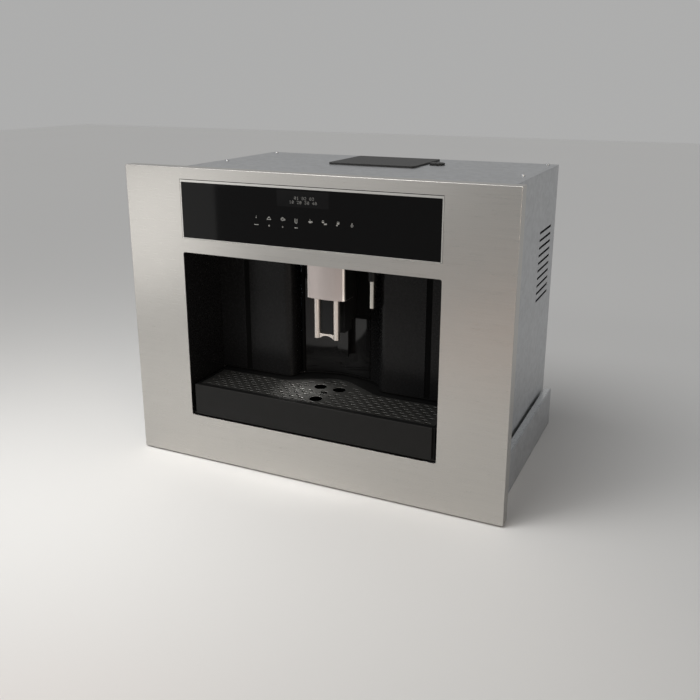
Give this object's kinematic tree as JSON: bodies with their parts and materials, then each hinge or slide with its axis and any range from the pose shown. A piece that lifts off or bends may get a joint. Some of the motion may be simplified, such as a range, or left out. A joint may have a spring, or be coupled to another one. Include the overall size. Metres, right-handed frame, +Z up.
{
  "type": "built-in coffee machine",
  "caption": "Built-in bean to cup coffee machine with steel fascia, black glass control strip, cup niche, adjustable twin spout and pull-out frame",
  "frame": {"origin": "centre of the four shelf screw holes, on the underside of the pull-out frame, which is the cabinet shelf's top face", "axes": "+Z up, +X to the right of someone facing the machine, -Y out of the cabinet towards that person"},
  "size_m": [0.595, 0.3852, 0.457],
  "materials": {
    "runner_frame": "zinc coated sheet steel",
    "outer_rails": "zinc coated sheet steel",
    "middle_rails": "zinc coated sheet steel",
    "inner_rails": "zinc coated sheet steel",
    "fascia_panel": "horizontally brushed stainless steel",
    "glass_bezel": "horizontally brushed stainless steel",
    "control_glass": "black backed toughened glass",
    "control_housing": "matte black moulding",
    "control_board": "circuit board",
    "display_module": "glossy black moulding",
    "front_frame": "zinc coated sheet steel",
    "base_plate": "zinc coated sheet steel",
    "left_side_panel": "zinc coated sheet steel",
    "right_side_panel": "zinc coated sheet steel",
    "rear_panel": "zinc coated sheet steel",
    "top_cover": "zinc coated sheet steel",
    "casing_screws": "zinc plated screws",
    "left_wall_liner": "glossy black moulding",
    "right_wall_liner": "glossy black moulding",
    "niche_ceiling": "glossy black moulding",
    "left_rear_liner": "glossy black moulding",
    "right_rear_liner": "glossy black moulding",
    "light_bar": "matte black moulding",
    "cup_lights": "clear light lenses",
    "deck_plate": "matte black moulding",
    "tray_bay": "matte black moulding",
    "service_door": "glossy black moulding",
    "door_pins": "ground steel",
    "spout_cover": "horizontally brushed stainless steel",
    "spout_carrier": "matte black moulding",
    "coffee_pipes": "horizontally brushed stainless steel",
    "nozzle_holder": "matte black moulding",
    "hot_water_nozzle": "horizontally brushed stainless steel",
    "tray_front": "matte black moulding",
    "drip_tray": "matte black moulding",
    "drip_grid": "dark perforated steel",
    "level_float": "dark grey moulding",
    "grounds_container": "matte black moulding",
    "water_tank": "clear smoky moulding",
    "tank_lid": "matte black moulding",
    "tank_socket": "grey moulding",
    "bean_hopper": "smoked moulding",
    "hopper_lid": "matte black moulding",
    "grinder_body": "grey moulding",
    "upper_burr": "hardened burr",
    "lower_burr": "hardened burr",
    "grinder_motor": "motor can",
    "grind_knob": "matte black moulding",
    "brew_frame": "grey moulding",
    "brew_chamber": "matte black moulding",
    "lead_screw": "rolled steel",
    "brew_motor": "motor can",
    "thermoblock": "die cast aluminium",
    "water_pump": "pump body",
    "pump_mounts": "rubber",
    "flow_meter": "grey moulding",
    "water_hoses": "silicone hose",
    "power_board": "circuit board",
    "mains_inlet": "matte black moulding",
    "switch_rocker": "red rocker"
  },
  "bodies": {
    "pull_out_frame": {"runner_frame": "runner_frame", "outer_rails": "outer_rails"},
    "machine": {"inner_rails": "inner_rails", "fascia_panel": "fascia_panel", "glass_bezel": "glass_bezel", "control_glass": "control_glass", "control_housing": "control_housing", "control_board": "control_board", "display_module": "display_module", "front_frame": "front_frame", "base_plate": "base_plate", "left_side_panel": "left_side_panel", "right_side_panel": "right_side_panel", "rear_panel": "rear_panel", "top_cover": "top_cover", "casing_screws": "casing_screws", "left_wall_liner": "left_wall_liner", "right_wall_liner": "right_wall_liner", "niche_ceiling": "niche_ceiling", "left_rear_liner": "left_rear_liner", "right_rear_liner": "right_rear_liner", "light_bar": "light_bar", "cup_lights": "cup_lights", "deck_plate": "deck_plate", "tray_bay": "tray_bay", "door_pins": "door_pins", "nozzle_holder": "nozzle_holder", "hot_water_nozzle": "hot_water_nozzle", "tank_socket": "tank_socket", "bean_hopper": "bean_hopper", "grinder_body": "grinder_body", "upper_burr": "upper_burr", "grinder_motor": "grinder_motor", "brew_frame": "brew_frame", "brew_motor": "brew_motor", "thermoblock": "thermoblock", "water_pump": "water_pump", "pump_mounts": "pump_mounts", "flow_meter": "flow_meter", "water_hoses": "water_hoses", "power_board": "power_board", "mains_inlet": "mains_inlet"},
    "middle_runners": {"middle_rails": "middle_rails"},
    "spout": {"spout_cover": "spout_cover", "spout_carrier": "spout_carrier", "coffee_pipes": "coffee_pipes"},
    "door": {"service_door": "service_door"},
    "tray": {"drip_tray": "drip_tray", "tray_front": "tray_front", "grounds_container": "grounds_container"},
    "grid": {"drip_grid": "drip_grid"},
    "float": {"level_float": "level_float"},
    "tank": {"water_tank": "water_tank"},
    "tank_cap": {"tank_lid": "tank_lid"},
    "hopper_cap": {"hopper_lid": "hopper_lid"},
    "knob": {"grind_knob": "grind_knob"},
    "burr": {"lower_burr": "lower_burr"},
    "screw": {"lead_screw": "lead_screw"},
    "chamber": {"brew_chamber": "brew_chamber"},
    "rocker": {"switch_rocker": "switch_rocker"}
  },
  "joints": [
    {"name": "pull_out", "type": "slide", "parent": "pull_out_frame", "child": "machine", "axis": [0, -1, 0], "range_m": [0, 0.3]},
    {"name": "middle_runner_slide", "type": "slide", "parent": "pull_out_frame", "child": "middle_runners", "axis": [0, -1, 0], "range_m": [0, 0.15]},
    {"name": "service_door_hinge", "type": "hinge", "parent": "machine", "child": "door", "pos_m": [-0.065, -0.08072, 0.2385], "axis": [0, 0, -1], "range_deg": [0, 75]},
    {"name": "spout_height", "type": "slide", "parent": "door", "child": "spout", "axis": [0, 0, 1], "range_m": [-0.01, 0.028]},
    {"name": "drip_tray_slide", "type": "slide", "parent": "machine", "child": "tray", "axis": [0, -1, 0], "range_m": [0, 0.24]},
    {"name": "drip_grid_lift", "type": "slide", "parent": "tray", "child": "grid", "axis": [0, 0, 1], "range_m": [0, 0.04]},
    {"name": "float_rise", "type": "slide", "parent": "tray", "child": "float", "axis": [0, 0, 1], "range_m": [0, 0.006]},
    {"name": "water_tank_slide", "type": "slide", "parent": "machine", "child": "tank", "axis": [-1, 0, 0], "range_m": [0, 0.118]},
    {"name": "tank_lid_hinge", "type": "hinge", "parent": "tank", "child": "tank_cap", "pos_m": [-0.1506, 0.005, 0.2385], "axis": [0, 1, 0], "range_deg": [0, 80]},
    {"name": "hopper_lid_hinge", "type": "hinge", "parent": "machine", "child": "hopper_cap", "pos_m": [0, 0.1525, 0.4475], "axis": [-1, 0, 0], "range_deg": [0, 95]},
    {"name": "grind_knob_turn", "type": "hinge", "parent": "machine", "child": "knob", "pos_m": [0.09, 0.09, 0.446], "axis": [0, 0, 1], "range_deg": [0, 270]},
    {"name": "burr_spin", "type": "hinge", "parent": "machine", "child": "burr", "pos_m": [0, 0.09, 0.35], "axis": [0, 0, 1], "continuous": true},
    {"name": "lead_screw_turn", "type": "hinge", "parent": "machine", "child": "screw", "pos_m": [0.045, -0.015, 0.147], "axis": [0, 0, 1], "range_deg": [0, 900]},
    {"name": "brew_chamber_lift", "type": "slide", "parent": "machine", "child": "chamber", "axis": [0, 0, 1], "range_m": [0, 0.045]},
    {"name": "switch_rocker_tilt", "type": "hinge", "parent": "machine", "child": "rocker", "pos_m": [-0.178, 0.178, 0.06], "axis": [1, 0, 0], "range_deg": [0, 10]}
  ],
  "couplings": [
    {"joint": "middle_runner_slide", "follows": "pull_out", "ratio": 0.5},
    {"joint": "lead_screw_turn", "follows": "brew_chamber_lift", "rad_per_m": 349.06}
  ]
}
